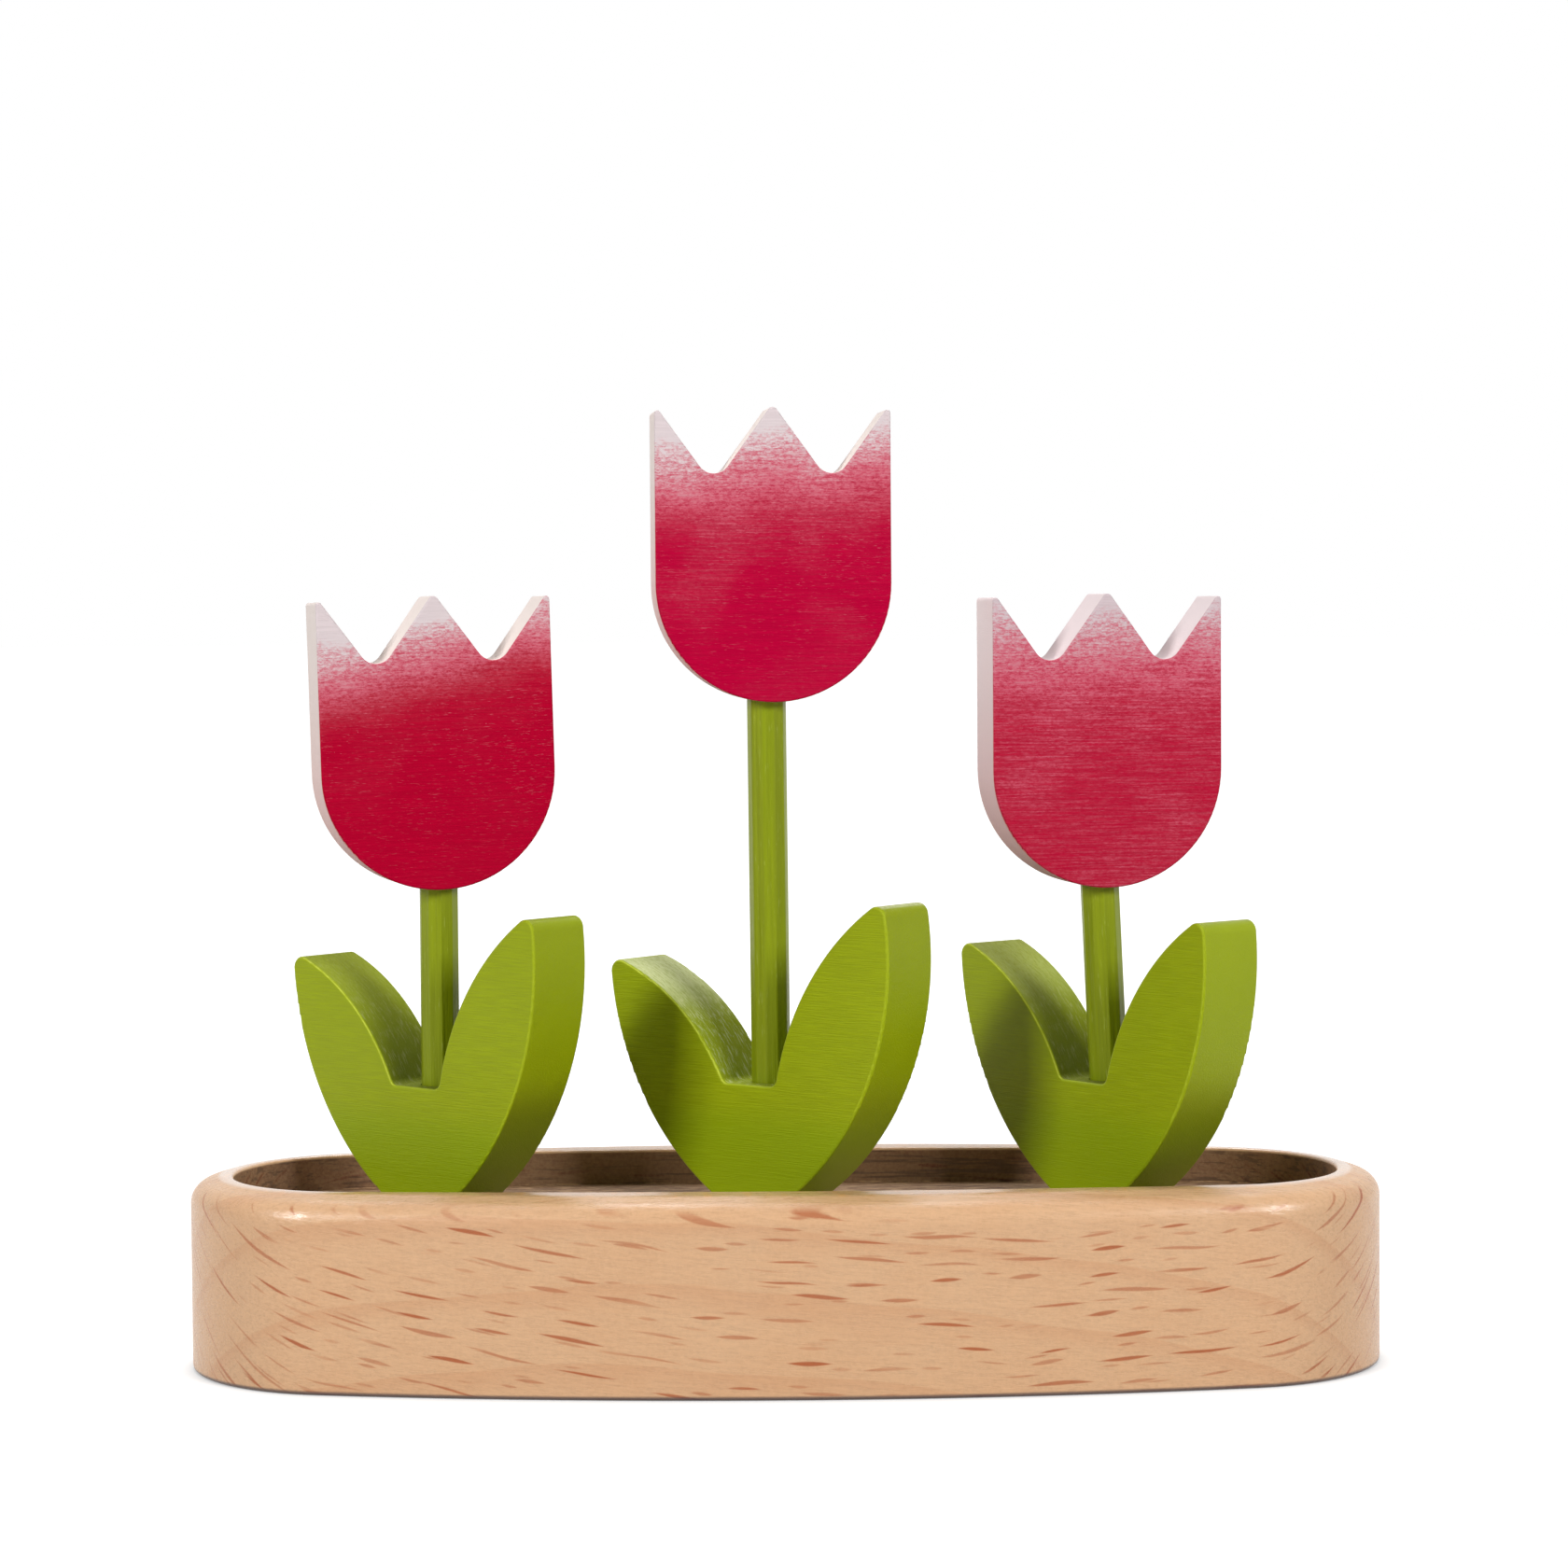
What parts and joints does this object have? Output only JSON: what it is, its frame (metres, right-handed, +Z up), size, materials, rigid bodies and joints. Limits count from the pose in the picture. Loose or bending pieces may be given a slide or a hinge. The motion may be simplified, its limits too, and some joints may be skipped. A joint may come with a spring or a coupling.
{
  "type": "wooden tulips in a tray",
  "caption": "Small flat-cut wooden tulips with round stems and V-shaped leaves, standing in a row on pegs in a long shallow tray with rounded ends.",
  "frame": {"origin": "centre of the tray's underside, on the surface it stands on", "axes": "+X along the tray to the viewer's right, +Y to the back of the tray, +Z up"},
  "size_m": [0.0912, 0.0324, 0.0731],
  "materials": {
    "bare_beech": "bare, finely sanded beech",
    "bare_dowel": "bare dowel",
    "green_wood": "satin green paint",
    "green_stem": "satin green paint",
    "crimson_wood": "matt crimson paint that fades to a pale tip"
  },
  "bodies": {
    "tray": {"tray": "bare_beech"},
    "left_peg": {"left_peg": "bare_dowel"},
    "left_leaves": {"left_leaf_pair": "green_wood", "left_stem": "green_stem"},
    "left_head": {"left_flower_head": "crimson_wood"},
    "centre_peg": {"centre_peg": "bare_dowel"},
    "centre_leaves": {"centre_leaf_pair": "green_wood", "centre_stem": "green_stem"},
    "centre_head": {"centre_flower_head": "crimson_wood"},
    "right_peg": {"right_peg": "bare_dowel"},
    "right_leaves": {"right_leaf_pair": "green_wood", "right_stem": "green_stem"},
    "right_head": {"right_flower_head": "crimson_wood"}
  },
  "joints": [
    {"name": "left_lift", "type": "slide", "parent": "tray", "child": "left_peg", "axis": [0, 0, 1], "range_m": [0, 0.012]},
    {"name": "left_leaf_turn", "type": "hinge", "parent": "left_peg", "child": "left_leaves", "pos_m": [-0.0264, 0, 0.012], "axis": [0, 0, -1], "range_deg": [-2, 101]},
    {"name": "left_head_turn", "type": "hinge", "parent": "left_leaves", "child": "left_head", "pos_m": [-0.0264, 0, 0.0215], "axis": [0, 0, 1], "continuous": true},
    {"name": "centre_lift", "type": "slide", "parent": "tray", "child": "centre_peg", "axis": [0, 0, 1], "range_m": [0, 0.012]},
    {"name": "centre_leaf_turn", "type": "hinge", "parent": "centre_peg", "child": "centre_leaves", "pos_m": [-0.001, 0, 0.012], "axis": [0, 0, -1], "range_deg": [0, 103]},
    {"name": "centre_head_turn", "type": "hinge", "parent": "centre_leaves", "child": "centre_head", "pos_m": [-0.001, 0, 0.0215], "axis": [-0.0052, 0, 1], "continuous": true},
    {"name": "right_lift", "type": "slide", "parent": "tray", "child": "right_peg", "axis": [0, 0, 1], "range_m": [0, 0.012]},
    {"name": "right_leaf_turn", "type": "hinge", "parent": "right_peg", "child": "right_leaves", "pos_m": [0.02495, 0, 0.012], "axis": [0, 0, -1], "range_deg": [-14, 89]},
    {"name": "right_head_turn", "type": "hinge", "parent": "right_leaves", "child": "right_head", "pos_m": [0.02495, 0, 0.0215], "axis": [-0.0436, 0, 0.999], "continuous": true}
  ]
}
